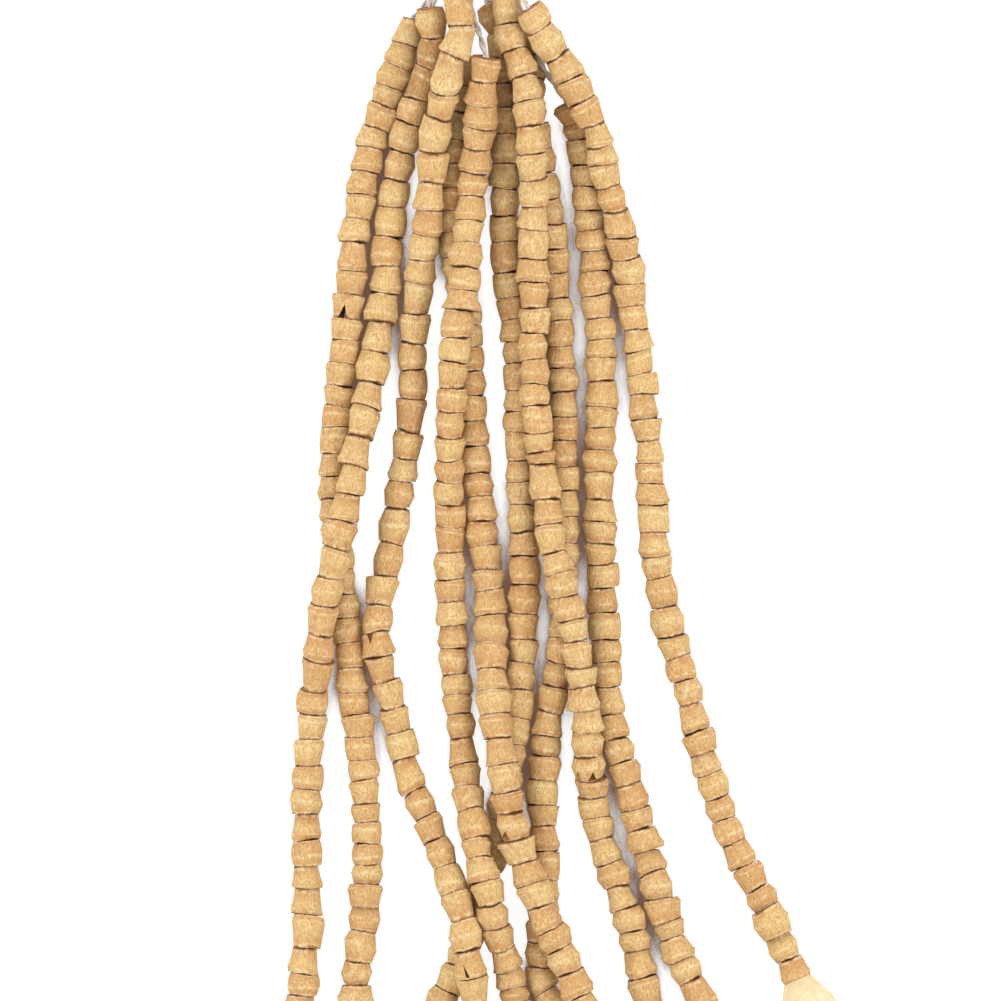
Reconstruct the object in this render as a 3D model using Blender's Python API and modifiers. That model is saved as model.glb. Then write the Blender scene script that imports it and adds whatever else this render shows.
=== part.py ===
"""A bead tassel laid out on a flat surface: ten strings of short wooden beads hang from one bound
neck, each on its own doubled thread and each ending in a larger pale bead. The strings cross and
lie on one another, so each is laid over those before it. Metres, +Z up, the neck towards +Y, the
origin on the surface below the middle of the tassel."""

import math

import bmesh
import bpy
import numpy as np
from mathutils import Matrix, Vector

MM = 0.001

# ---- Driving sizes -----------------------------------------------------------------------------
GAP = 0.3 * MM                      # left between pieces that touch
NECK_FACE_PLACE = (-16.8, 144.2)    # middle of the neck's lower face in the frame, millimetres

STRING_WIDTH = 7.4 * MM             # across a string of beads, corner to corner of its section
THREAD_WIDTH = 1.6 * MM             # the doubled thread where it is bare
RING_SPACING = 7.0 * MM             # one section of a string for about every bead
THREAD_RING_SPACING = 2.5 * MM
THREAD_END_ROOM = 1.1 * MM          # a bare thread stops this short of the neck and its bead

NECK_LENGTH = 12.0 * MM
NECK_WIDTH = 11.0 * MM
NECK_SIDES = 16
NECK_CHAMFER = 0.8 * MM
NECK_HEIGHT = NECK_WIDTH / 2 * math.cos(math.pi / NECK_SIDES)   # of its axis, over the surface
SLOT_SPACING = 2.1 * MM             # between the threads where they leave the neck

END_BEAD_TOP_WIDTH = 7.5 * MM       # the flat end that the string's last bead meets
END_BEAD_WIDTH = 14.5 * MM
END_BEAD_FLARE = math.radians(25)   # slope of its flank
END_BEAD_TIP_WIDTH = 4.0 * MM       # the small flat at its round end
END_BEAD_FLAT_SPOT = 0.3 * MM       # depth of the flat on which it rests
END_BEAD_SIDES = 10
END_BEAD_RINGS = 6                  # on its ball

LOOP_CORD_WIDTH = 2.4 * MM
LOOP_FEET = 3.4 * MM                # between the cord's two ends in the neck
LOOP_LENGTH = 34.0 * MM
LOOP_WIDTH = 15.0 * MM
LOOP_LEAVES_AT = (1.9 * MM, 3.0 * MM)       # a point just out of the neck, (across, along)
LOOP_SPREADS = [(0.62, 0.45), (0.95, 0.85)]  # parts of half its width and of its straight length
LOOP_CROWN = (20, 55, 90, 125, 160)         # degrees round its far end
LOOP_STEP = 2.4 * MM
LOOP_DESCENT = 14.0 * MM            # from the neck to where it lies on the surface

# How a string lies: sampled finely, never sharper than its beads allow, sagging between supports.
LAY_STEP = 1.5 * MM
CURVE_POINTS = 30                   # on a curve between two of the given points
LAY_CLEARANCE = 0.4 * MM
HUMP_RADIUS = 18.0 * MM
SAG_PER_METRE = 18.0                # curvature of a free span, 1/m
SETTLE_ROUNDS = 3000
END_SLOPE = 0.25                    # a string's last stretch comes down no flatter than this
HEADING_STEPS = 3                   # the last steps of a string, which give its end bead's heading

TUBE_SIDES = 8
FACET_DOWN = math.pi / TUBE_SIDES   # turns a tube's section so that a flat lies underneath
FLAT_SHARE = math.cos(math.pi / TUBE_SIDES)

# ---- The ten strings, in the order in which they were laid down ----------------------------------
# slot:   where the thread leaves the neck, (places to the right, places up) from its middle
# thread: points that the bare thread passes, and
# beads:  points from the first bead to the end bead,
#         all as (across to the right, down from the neck's lower face) in millimetres
STRINGS = {
    "1": {
        "slot": (0, -0.5),
        "thread": [],
        "beads": [
            (0.8, 13.8), (4.1, 19.3), (4.5, 24), (3.9, 31), (4.3, 37.5), (5.6, 48), (5.3, 57),
            (4.8, 65), (5.8, 78), (7.5, 91), (8.6, 108), (8.9, 125), (9.5, 145), (10.2, 162.5),
            (9.5, 177), (8.4, 188), (6.7, 200), (5, 212.5), (2.5, 225), (-1.5, 237.5),
            (-5.8, 253.5), (-12, 265.5),
        ],
    },
    "2": {
        "slot": (1, -0.5),
        "thread": [(6, 12.5)],
        "beads": [
            (12.3, 20.8), (11.9, 28), (11.3, 35), (11.9, 42), (13.5, 49), (15, 57), (16.4, 65),
            (16.9, 75), (18.2, 87), (19.2, 102), (19.7, 122), (20.3, 142), (20, 157),
            (19.6, 175), (17.5, 185.5), (15.5, 197), (14.6, 212), (15.3, 226), (14.8, 238),
            (13.8, 250), (14.4, 258.5), (18.3, 264.5), (21.8, 270), (23, 275), (22.8, 281),
            (21.8, 285),
        ],
    },
    "3": {
        "slot": (2, -0.5),
        "thread": [(9.2, 15), (12.2, 22.5), (14.2, 28.5)],
        "beads": [
            (20.8, 38.5), (23, 43), (24.6, 48.5), (25.5, 56), (26.5, 67), (27.5, 76),
            (28.2, 88), (29.3, 105), (29, 127), (29.2, 148), (29.8, 163), (30.4, 177),
            (31, 187), (33, 198), (36, 209), (39.3, 221), (42.8, 232.5), (47.2, 247.5),
            (54.2, 262.5), (56, 265.8),
        ],
    },
    "4": {
        "slot": (-2, -0.5),
        "thread": [],
        "beads": [
            (-17.8, 17.5), (-20.8, 26.8), (-24, 36), (-27.5, 46.5), (-30.8, 62.5), (-33.2, 82),
            (-35.6, 105), (-37.4, 129), (-36.9, 147), (-34.8, 166), (-33, 182),
            (-31, 199), (-29.2, 217), (-29.7, 237.5), (-31.8, 259), (-32.2, 266.5),
        ],
    },
    "5": {
        "slot": (-1, -0.5),
        "thread": [(-8.2, 14), (-7.8, 21)],
        "beads": [
            (-5.2, 27.5), (-6.2, 37.5), (-7.6, 50), (-8, 62.5), (-7.6, 72.5), (-5.2, 85),
            (-3.8, 100), (-2.8, 120), (-0.6, 142.5), (1.2, 162.5), (2.2, 185), (4.8, 204),
            (8.3, 222.5), (15.5, 242.5), (20.2, 252.5), (24, 262.5), (27.3, 269.5), (30.8, 275.5),
            (32.8, 279.5),
        ],
    },
    "6": {
        "slot": (-2, 0.5),
        "thread": [],
        "beads": [
            (-13.5, 14.8), (-12.5, 22.5), (-13, 27.5), (-15.4, 33.8), (-19.2, 46.3),
            (-22.8, 62.5), (-24.6, 82.5), (-27.6, 103), (-33, 132.5), (-39.4, 162.5),
            (-43.1, 192.5), (-44.5, 220), (-43.8, 237.5), (-45.8, 264), (-46.7, 273.8),
        ],
    },
    "7": {
        "slot": (1, 0.5),
        "thread": [],
        "beads": [
            (5.2, 9.5), (5.7, 15), (5.8, 20), (6.7, 23.6), (7.9, 26.8), (9.2, 30), (10.8, 36.5),
            (11.8, 48), (12.7, 60), (12.2, 73.8), (12.3, 92.5), (12.8, 112.5), (14.7, 130),
            (17.2, 150), (20.4, 163), (23.2, 175), (25.2, 190), (26.4, 205), (29.3, 222),
            (33, 232.5), (36, 242.5), (41.2, 262.5), (41.6, 264),
        ],
    },
    "8": {
        "slot": (0, 0.5),
        "thread": [(-3, 8.8), (-3.3, 13.8), (-2.5, 17.5), (-1.3, 21), (-0.5, 23.8)],
        "beads": [
            (0.5, 27.5), (-0.3, 36.3), (-1.4, 47), (-3, 65), (-5, 82.5), (-7.4, 102.5),
            (-8.6, 122.5), (-8.6, 147.5), (-7.8, 172.5), (-6.2, 192.5), (-3.8, 212.5),
            (0.3, 232.5), (5.5, 252.5), (8, 263),
        ],
    },
    "9": {
        "slot": (-1, 0.5),
        "thread": [],
        "beads": [
            (-5.8, 7), (-6.4, 13.8), (-5.8, 17.5), (-5.4, 20.3), (-6.2, 23.5), (-7.7, 26.8),
            (-8.7, 29.8), (-9.6, 35.5), (-12.2, 46.8), (-13.5, 62.5), (-17.2, 92.5),
            (-18, 112.5), (-20.5, 132.5), (-24.2, 152.5), (-27, 170), (-26, 176.5),
            (-24.2, 185), (-21, 197.5), (-17.8, 208.8), (-14, 217), (-9, 231.3),
            (-5.5, 242.5), (-3.2, 255), (-1.6, 272.5), (-1.4, 281.5),
        ],
    },
    "10": {
        "slot": (2, 0.5),
        "thread": [],
        "beads": [
            (11, 15.5), (16.3, 23.8), (20.5, 30), (23.3, 35.5), (28, 46.3), (30.7, 57.5),
            (34.5, 72.5), (38.8, 102.5), (41.2, 127.5), (43.1, 152.5), (45.7, 167.5),
            (50, 182.5), (54, 198.8), (59.3, 215), (67, 232.5), (76.5, 252.5), (78.4, 257.5),
        ],
    },
}


# ---- Curves and heights --------------------------------------------------------------------------
def place(across, down):
    """A point of the tables, in metres in the part's frame."""
    return (NECK_FACE_PLACE[0] + across) * MM, (NECK_FACE_PLACE[1] - down) * MM


def evenly(points, step):
    """The same line with points at one even spacing, as near to the step as its length allows."""
    along = np.concatenate([[0], np.cumsum(np.linalg.norm(np.diff(points, axis=0), axis=1))])
    marks = np.linspace(0, along[-1], max(2, round(along[-1] / step) + 1))
    return np.stack([np.interp(marks, along, points[:, k]) for k in range(points.shape[1])], 1)


def curve_through(points, step):
    """Even points on a smooth curve through the given ones, a centripetal Catmull-Rom spline."""
    given = np.array(points, float)
    given = np.vstack([2 * given[0] - given[1], given, 2 * given[-1] - given[-2]])
    knots = np.concatenate([[0], np.cumsum(np.linalg.norm(np.diff(given, axis=0), axis=1) ** 0.5)])
    fine = []
    for k in range(1, len(given) - 2):
        t = np.linspace(knots[k], knots[k + 1], CURVE_POINTS, endpoint=False)[:, None]
        level = list(given[k - 1:k + 3])
        ends = knots[k - 1:k + 3]
        for span in (1, 2):
            level = [
                ((ends[i + span] - t) * level[i] + (t - ends[i]) * level[i + 1])
                / (ends[i + span] - ends[i])
                for i in range(len(level) - 1)
            ]
        fine.append(((ends[2] - t) * level[0] + (t - ends[1]) * level[1]) / (ends[2] - ends[1]))
    fine.append(given[-2][None])
    return evenly(np.vstack(fine), step)


def resting_heights(plan, radius, laid):
    """The lowest heights that clear the surface and everything laid before."""
    heights = radius * FLAT_SHARE
    for other, other_radius in laid:
        reach = (radius + other_radius[None].T + LAY_CLEARANCE) ** 2
        apart = ((plan[None] - other[:, None, :2]) ** 2).sum(2)
        lift = np.where(apart < reach, np.sqrt(np.maximum(reach - apart, 0)), -np.inf)
        heights = np.maximum(heights, (other[:, 2:3] + lift).max(0))
    return heights


def lay_down(plan, radius, laid, start_height):
    """The heights along a string: humps no sharper than its beads allow, sagging between them."""
    needed = resting_heights(plan, radius, laid)
    along = np.concatenate([[0], np.cumsum(np.linalg.norm(np.diff(plan, axis=0), axis=1))])
    away = along[:, None] - along[None]
    rounding = away ** 2 / (2 * HUMP_RADIUS)
    beaded = radius > THREAD_WIDTH
    caps = np.where(beaded[:, None] & beaded[None] & (abs(away) < HUMP_RADIUS / 2),
                    needed[None] - rounding, -np.inf)
    needed = np.maximum(needed, caps.max(1))
    heights = needed.copy()
    heights[0] = start_height
    sag = SAG_PER_METRE * LAY_STEP ** 2 / 2
    for _ in range(SETTLE_ROUNDS):
        middles = (heights[:-2] + heights[2:]) / 2 - sag
        heights[1:-1] = np.maximum(needed[1:-1], middles)
        heights[-1] = max(needed[-1], heights[-2] - END_SLOPE * LAY_STEP)
    return heights


def slot_point(row):
    """Where a string's thread leaves the neck's lower face."""
    right, up = row["slot"]
    x, y = place(0, 0)
    return x + right * SLOT_SPACING, y - THREAD_END_ROOM, NECK_HEIGHT + up * SLOT_SPACING


def laid_strings():
    """Each string's bare thread and line of beads as points in space, laid one after another."""
    laid, found = [], {}
    for name, row in STRINGS.items():
        start = slot_point(row)
        bead_plan = curve_through([place(*p) for p in row["beads"]], LAY_STEP)
        thread_through = [start[:2]] + [place(*p) for p in row["thread"]] + [bead_plan[0]]
        thread_plan = curve_through(thread_through, LAY_STEP)
        plan = np.vstack([thread_plan[:-1], bead_plan])
        radius = np.full(len(plan), STRING_WIDTH / 2)
        radius[:len(thread_plan) - 1] = THREAD_WIDTH / 2
        heights = lay_down(plan, radius, laid, start[2])
        line = np.column_stack([plan, heights])
        laid.append((line, radius))
        first_bead = len(thread_plan) - 1
        found[name] = (line[:first_bead + 1], line[first_bead:])
    return found


# ---- Making the solids ---------------------------------------------------------------------------
def material(name, colour, roughness):
    made = bpy.data.materials.new(name)
    made.use_nodes = True
    shader = made.node_tree.nodes["Principled BSDF"]
    shader.inputs["Base Color"].default_value = (*colour, 1)
    shader.inputs["Roughness"].default_value = roughness
    shader.inputs["Metallic"].default_value = 0
    made.diffuse_color = (*colour, 1)
    return made


def tube(name, points, width, finish):
    """An eight-sided tube along the points, with a flat underneath."""
    curve = bpy.data.curves.new(name, "CURVE")
    curve.dimensions = "3D"
    curve.twist_mode = "Z_UP"
    curve.bevel_depth = width / 2
    curve.bevel_resolution = TUBE_SIDES // 2 - 2
    curve.render_resolution_u = curve.resolution_u
    curve.use_fill_caps = True
    spline = curve.splines.new("POLY")
    spline.points.add(len(points) - 1)
    for point, at in zip(spline.points, points):
        point.co = (*at, 1)
        point.tilt = FACET_DOWN
    curve.materials.append(finish)
    return named(bpy.data.objects.new(name, curve))


def named(made):
    tassel.objects.link(made)
    return made


def solid(name, shape, finish):
    """An object from the shape, which is freed, its faces turned outwards."""
    bmesh.ops.recalc_face_normals(shape, faces=shape.faces)
    mesh = bpy.data.meshes.new(name)
    shape.to_mesh(mesh)
    shape.free()
    mesh.materials.append(finish)
    return named(bpy.data.objects.new(name, mesh))


def trimmed(line, at_start, at_end):
    """The line with a little taken off each end, for the gaps between touching pieces."""
    along = np.concatenate([[0], np.cumsum(np.linalg.norm(np.diff(line, axis=0), axis=1))])
    marks = along[(along > at_start) & (along < along[-1] - at_end)]
    marks = np.concatenate([[at_start], marks, [along[-1] - at_end]])
    return np.stack([np.interp(marks, along, line[:, k]) for k in range(3)], 1)


def end_bead_outline():
    """(length along the axis, radius) of a straight flank that runs into a ball, and its centre."""
    ball = END_BEAD_WIDTH / 2
    flank = (ball * math.cos(END_BEAD_FLARE) - END_BEAD_TOP_WIDTH / 2) / math.tan(END_BEAD_FLARE)
    centre = flank + ball * math.sin(END_BEAD_FLARE)
    tip = math.acos(END_BEAD_TIP_WIDTH / 2 / ball)
    arc = np.linspace(-END_BEAD_FLARE, tip, END_BEAD_RINGS)
    top = [(0, END_BEAD_TOP_WIDTH / 2)]
    return top + [(centre + ball * math.sin(a), ball * math.cos(a)) for a in arc], centre


def string_heading(line):
    return Vector(line[-1] - line[-1 - HEADING_STEPS])


def end_bead_axis(line):
    """From the string's end towards the place where the end bead's ball rests on the surface."""
    rise = (END_BEAD_WIDTH / 2 - END_BEAD_FLAT_SPOT - line[-1][2]) / end_bead_outline()[1]
    heading = string_heading(line)
    heading.z = 0
    axis = heading.normalized() * math.sqrt(1 - rise ** 2)
    axis.z = rise
    return axis


def end_bead(name, at, axis, finish):
    """A turned bead, its top at the string's end and its ball on the surface, cut flat there."""
    shape = bmesh.new()
    corners = [shape.verts.new((radius, 0, length)) for length, radius in end_bead_outline()[0]]
    edges = [shape.edges.new(pair) for pair in zip(corners, corners[1:])]
    bmesh.ops.spin(shape, geom=corners + edges, cent=(0, 0, 0), axis=(0, 0, 1), angle=math.tau,
                   steps=END_BEAD_SIDES, use_merge=True)
    bmesh.ops.holes_fill(shape, edges=shape.edges[:])
    corner_down = Matrix.Rotation(math.pi / END_BEAD_SIDES, 4, "Z")
    turn = Matrix.Translation(at) @ axis.to_track_quat("Z", "Y").to_matrix().to_4x4()
    bmesh.ops.transform(shape, matrix=turn @ corner_down, verts=shape.verts)
    cut = bmesh.ops.bisect_plane(shape, geom=shape.verts[:] + shape.edges[:] + shape.faces[:],
                                 plane_co=(0, 0, 0), plane_no=(0, 0, -1), clear_outer=True)
    rim = [e for e in cut["geom_cut"] if isinstance(e, bmesh.types.BMEdge)]
    bmesh.ops.holes_fill(shape, edges=rim)
    return solid(name, shape, finish)


def neck(finish):
    """The bound neck, lying on one of its flats."""
    shape = bmesh.new()
    turn = Matrix.Rotation(math.pi / 2, 4, "X") @ Matrix.Rotation(math.pi / NECK_SIDES, 4, "Z")
    at = Matrix.Translation((*place(0, -NECK_LENGTH / MM / 2), NECK_HEIGHT))
    bmesh.ops.create_cone(shape, cap_ends=True, segments=NECK_SIDES, radius1=NECK_WIDTH / 2,
                          radius2=NECK_WIDTH / 2, depth=NECK_LENGTH, matrix=at @ turn)
    made = solid("neck_binding", shape, finish)
    bevel = made.modifiers.new("rounded ends", "BEVEL")
    bevel.width = NECK_CHAMFER
    bevel.segments = 1
    bevel.limit_method = "ANGLE"
    bevel.angle_limit = math.radians(60)
    return made


def hanging_loop(finish):
    """A loop of cord from one side of the neck's upper face to the other, lying on the surface."""
    x, y = place(0, -NECK_LENGTH / MM)
    half = LOOP_WIDTH / 2
    straight = LOOP_LENGTH - half
    side = [(LOOP_FEET / 2, 0), LOOP_LEAVES_AT,
            *((half * across, straight * along) for across, along in LOOP_SPREADS)]
    crown = [(half * math.cos(a), straight + half * math.sin(a)) for a in np.radians(LOOP_CROWN)]
    plan = curve_through(side + crown + [(-across, up) for across, up in reversed(side)], LOOP_STEP)
    from_feet = [np.linalg.norm(plan - foot, axis=1) for foot in (plan[0], plan[-1])]
    down = np.clip(np.minimum(*from_feet) / LOOP_DESCENT, 0, 1)
    lowest = LOOP_CORD_WIDTH / 2 * FLAT_SHARE
    heights = lowest + (NECK_HEIGHT - lowest) * (1 - down) ** 2 * (1 + 2 * down)
    line = np.column_stack([x + plan[:, 0], y + plan[:, 1], heights])
    return tube("hanging_loop", trimmed(line, GAP, GAP), LOOP_CORD_WIDTH, finish)


def string_pieces(name, thread_line, bead_line, finishes):
    """A string's bare thread, its beads as one solid, and its end bead."""
    thread = evenly(trimmed(thread_line, 0, THREAD_END_ROOM), THREAD_RING_SPACING)
    tube(f"thread_{name}", thread, THREAD_WIDTH, finishes["thread"])
    axis = end_bead_axis(bead_line)
    bend = axis.angle(string_heading(bead_line))
    end_room = STRING_WIDTH / 2 * math.sin(bend) + GAP
    beads = evenly(trimmed(bead_line, 0, end_room), RING_SPACING)
    tube(f"bead_string_{name}", beads, STRING_WIDTH, finishes["beads"])
    end_bead(f"end_bead_{name}", bead_line[-1], axis, finishes["end beads"])


# ---- Build ---------------------------------------------------------------------------------------
for left_over in list(bpy.data.objects):
    bpy.data.objects.remove(left_over, do_unlink=True)

tassel = bpy.data.collections.new("bead_tassel")
bpy.context.scene.collection.children.link(tassel)

FINISHES = {
    "beads": material("rough natural wood", (0.62, 0.42, 0.20), 0.85),
    "end beads": material("smooth pale wood", (0.72, 0.58, 0.36), 0.6),
    "thread": material("off-white thread", (0.62, 0.56, 0.50), 0.9),
}

neck(FINISHES["thread"])
hanging_loop(FINISHES["thread"])
for string_name, (thread_points, bead_points) in laid_strings().items():
    string_pieces(string_name, thread_points, bead_points, FINISHES)
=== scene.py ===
"""The looks of a bead tassel that lies on a surface: ten strings of short rough wooden beads on
doubled thread, seen from straight above. Metres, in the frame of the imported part."""

import math
import random

import bpy
import numpy as np
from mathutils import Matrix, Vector


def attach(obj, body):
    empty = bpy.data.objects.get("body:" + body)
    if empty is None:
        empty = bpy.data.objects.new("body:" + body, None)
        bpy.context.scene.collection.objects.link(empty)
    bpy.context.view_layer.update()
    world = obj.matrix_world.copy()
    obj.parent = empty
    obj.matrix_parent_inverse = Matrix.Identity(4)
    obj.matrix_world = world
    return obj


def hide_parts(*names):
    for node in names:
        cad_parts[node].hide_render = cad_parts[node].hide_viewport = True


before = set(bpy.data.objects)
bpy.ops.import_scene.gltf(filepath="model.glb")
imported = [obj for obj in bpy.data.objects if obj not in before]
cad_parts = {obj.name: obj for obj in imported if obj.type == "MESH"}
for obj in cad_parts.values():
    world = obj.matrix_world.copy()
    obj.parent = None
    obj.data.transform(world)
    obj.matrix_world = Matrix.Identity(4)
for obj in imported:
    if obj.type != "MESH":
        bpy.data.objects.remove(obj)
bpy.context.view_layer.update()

# ---- Surface, light and camera -------------------------------------------------------------------
# The tassel lies on a plain white surface that glows, under the sky and four large soft lights, so
# that no shadows show on it. Narrow gaps between strings get painted shade: brown, with a dimmer
# glow. The camera looks straight down.
MM = 0.001
VIEW_MIDDLE = (-12.68 * MM, 6.58 * MM)
VIEW_WIDTH = 250.25 * MM
VIEW_HEIGHT = 2.6
SENSOR_WIDTH = 36
SHADED_GAP = 9 * MM             # how wide a gap between strings may be and still get the painted brown shade
OPENNESS_BROWN = 0.255          # the share of open sky over a spot at which the painted shade is full
OPENNESS_WHITE = 0.285          # and at which it is white
# painted shade: in narrow gaps between strings, where little sky is open, the surface turns brown and
# glows less
PAINTED_GAP_SHADE = (0.17, 0.09, 0.065, 1)
PAINTED_GAP_SHADE_GLOW = (0.13, 0.075, 0.052, 1)
OPEN_SURFACE = (0.2, 0.2, 0.2, 1)
OPEN_SURFACE_GLOW = (1, 1, 1, 1)

scene = bpy.context.scene
bpy.ops.object.select_all(action="DESELECT")
bpy.ops.mesh.primitive_plane_add(size=6)
surface = bpy.context.object
surface.name = "surface"
white = bpy.data.materials.new("white surface with painted gap shade")
white.use_nodes = True
shade = white.node_tree.nodes["Principled BSDF"]
shade.inputs["Roughness"].default_value = 0.9
covered = white.node_tree.nodes.new("ShaderNodeAmbientOcclusion")
covered.inputs["Distance"].default_value = SHADED_GAP
covered.samples = 32
# painted shade: where a spot sees little open sky the surface is brown and dim, elsewhere it glows
# white
for socket, narrow, wide in (("Base Color", PAINTED_GAP_SHADE, OPEN_SURFACE),
                             ("Emission Color", PAINTED_GAP_SHADE_GLOW, OPEN_SURFACE_GLOW)):
    ramp = white.node_tree.nodes.new("ShaderNodeValToRGB")
    ramp.color_ramp.elements[0].position = OPENNESS_BROWN
    ramp.color_ramp.elements[0].color = narrow
    ramp.color_ramp.elements[1].position = OPENNESS_WHITE
    ramp.color_ramp.elements[1].color = wide
    white.node_tree.links.new(covered.outputs["AO"], ramp.inputs["Fac"])
    white.node_tree.links.new(ramp.outputs["Color"], shade.inputs[socket])
shade.inputs["Emission Strength"].default_value = 0.9
surface.data.materials.append(white)

sky = bpy.data.worlds.new("soft light")
scene.world = sky
sky.use_nodes = True
sky.node_tree.nodes["Background"].inputs["Color"].default_value = (1, 0.99, 0.97, 1)
direction = sky.node_tree.nodes.new("ShaderNodeTexCoord")
upwards = sky.node_tree.nodes.new("ShaderNodeSeparateXYZ")
brightness = sky.node_tree.nodes.new("ShaderNodeMapRange")
brightness.inputs["To Min"].default_value = 1.1      # level with the surface
brightness.inputs["To Max"].default_value = 0.5      # overhead
sky.node_tree.links.new(direction.outputs["Generated"], upwards.inputs["Vector"])
sky.node_tree.links.new(upwards.outputs["Z"], brightness.inputs["Value"])
sky.node_tree.links.new(brightness.outputs["Result"],
                        sky.node_tree.nodes["Background"].inputs["Strength"])


def softbox(name, place, size, power):
    """A square light that faces the middle of the strings."""
    light = bpy.data.lights.new(name, "AREA")
    light.size = size
    light.energy = power
    made = bpy.data.objects.new(name, light)
    scene.collection.objects.link(made)
    made.location = place
    made.rotation_euler = (-Vector(place)).to_track_quat("-Z", "Y").to_euler()


SOFTBOX_SIZE = 0.9
softbox("light beyond the neck", (0, 0.8, 1.05), SOFTBOX_SIZE, 6)
softbox("light beyond the ends", (0, -0.9, 0.8), SOFTBOX_SIZE, 4)
softbox("light on the left", (-1.0, 0.1, 0.8), SOFTBOX_SIZE, 12)
softbox("light on the right", (1.0, 0.1, 0.8), SOFTBOX_SIZE, 12)

lens = bpy.data.cameras.new("camera")
lens.sensor_width = SENSOR_WIDTH
lens.lens = SENSOR_WIDTH * VIEW_HEIGHT / VIEW_WIDTH
camera = bpy.data.objects.new("camera", lens)
scene.collection.objects.link(camera)
camera.location = (*VIEW_MIDDLE, VIEW_HEIGHT)
scene.camera = camera
scene.view_settings.view_transform = "Standard"

# ---- Doubled threads -----------------------------------------------------------------------------
# Each string hangs on one cotton thread, doubled, that comes out of the neck, runs bare for a
# little way, then through all its beads and the end bead, below which it is knotted.
NECK_FACE_PLACE = (-16.8, 144.2)    # middle of the neck's lower face, millimetres
SLOT_SPACING = 2.1 * MM
THREAD_END_ROOM = 1.1 * MM
STRAND_WIDTH = 0.86 * MM
STRAND_TWIST = 9 * MM
THREAD_IN_NECK = 5 * MM
KNOT_ROOM = 1.4 * MM                # from the end bead's tip to the middle of the knot
LINE_STEP = 1.5 * MM
NECK_HEIGHT = 5.394 * MM
YARN = (0.66, 0.58, 0.52)
YARN_TWIST_MARKS = 40

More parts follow.
